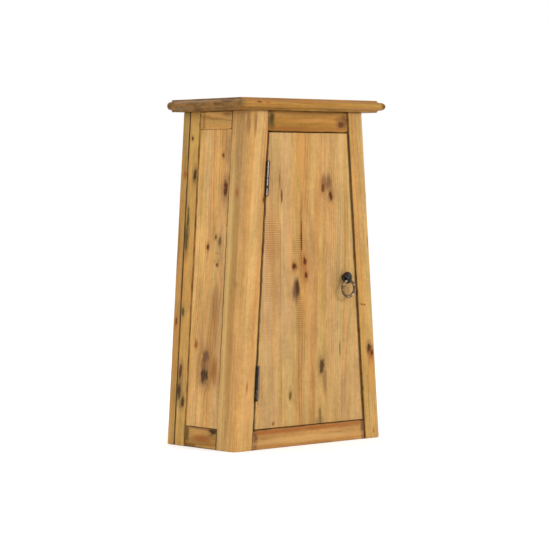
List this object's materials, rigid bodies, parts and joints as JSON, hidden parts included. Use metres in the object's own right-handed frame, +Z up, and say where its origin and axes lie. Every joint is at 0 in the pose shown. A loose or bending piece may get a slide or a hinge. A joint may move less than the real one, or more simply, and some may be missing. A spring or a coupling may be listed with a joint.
{
  "type": "hanging wall cabinet",
  "caption": "Flared hanging wall cabinet of reclaimed pine: moulded top board, framed and panelled sides, inset door on butt hinges with a ring pull, shelves inside.",
  "frame": {"origin": "middle of the bounding box at its lowest level", "axes": "+X to the right seen from the front, +Y towards the wall, +Z up"},
  "size_m": [0.4072, 0.229, 0.7],
  "materials": {
    "frame_wood": "waxed reclaimed pine, satin",
    "door_wood": "waxed reclaimed pine, satin",
    "rail_wood": "waxed reclaimed pine, satin",
    "top_wood": "waxed reclaimed pine, satin",
    "inner_wood": "plain pine, dull",
    "dark_iron": "blackened, antique",
    "steel": "zinc plated, dull",
    "catch_plastic": "brown, matt"
  },
  "bodies": {
    "cabinet": {"back_board_left": "inner_wood", "back_board_middle": "inner_wood", "back_board_right": "inner_wood", "back_bottom_rail": "inner_wood", "back_frame_screws": "steel", "back_stile_left": "frame_wood", "back_stile_right": "frame_wood", "back_top_rail": "inner_wood", "batten_screws": "steel", "bottom_board": "inner_wood", "bottom_cleat_left": "inner_wood", "bottom_cleat_right": "inner_wood", "catch_housing": "catch_plastic", "catch_magnet": "steel", "catch_screws": "steel", "cleat_screws": "steel", "door_stop": "inner_wood", "floor_screws": "steel", "front_bottom_rail": "rail_wood", "front_post_left": "frame_wood", "front_post_right": "frame_wood", "front_top_rail": "rail_wood", "hinge_frame_leaves": "dark_iron", "hinge_frame_screws": "steel", "hinge_pins": "dark_iron", "rear_post_left": "frame_wood", "rear_post_right": "frame_wood", "shelf_batten_lower_left": "inner_wood", "shelf_batten_lower_right": "inner_wood", "shelf_batten_upper_left": "inner_wood", "shelf_batten_upper_right": "inner_wood", "shelf_lower": "inner_wood", "shelf_upper": "inner_wood", "side_bottom_rail_left": "rail_wood", "side_bottom_rail_right": "rail_wood", "side_panel_left": "frame_wood", "side_panel_right": "frame_wood", "side_top_rail_left": "rail_wood", "side_top_rail_right": "rail_wood", "top_board": "top_wood", "top_cleat_left": "inner_wood", "top_cleat_right": "inner_wood", "top_screws": "steel"},
    "door": {"door_board_left": "door_wood", "door_board_middle": "door_wood", "door_board_right": "door_wood", "door_ledge_lower": "door_wood", "door_ledge_upper": "door_wood", "hinge_door_leaves": "dark_iron", "hinge_door_screws": "steel", "ledge_screws": "steel", "pull_boss": "dark_iron", "pull_nut": "dark_iron", "pull_washer": "dark_iron", "strike_plate": "steel", "strike_screw": "steel"},
    "ring": {"pull_ring": "dark_iron"}
  },
  "joints": [
    {"name": "door_hinge", "type": "hinge", "parent": "cabinet", "child": "door", "pos_m": [-0.12999, -0.0976, 0.3365], "axis": [-0.0718, 0, -0.9974], "range_deg": [0, 110]},
    {"name": "ring_swing", "type": "hinge", "parent": "door", "child": "ring", "pos_m": [0.09629, -0.1076, 0.3311], "axis": [-1, 0, 0], "range_deg": [-15, 95]}
  ]
}
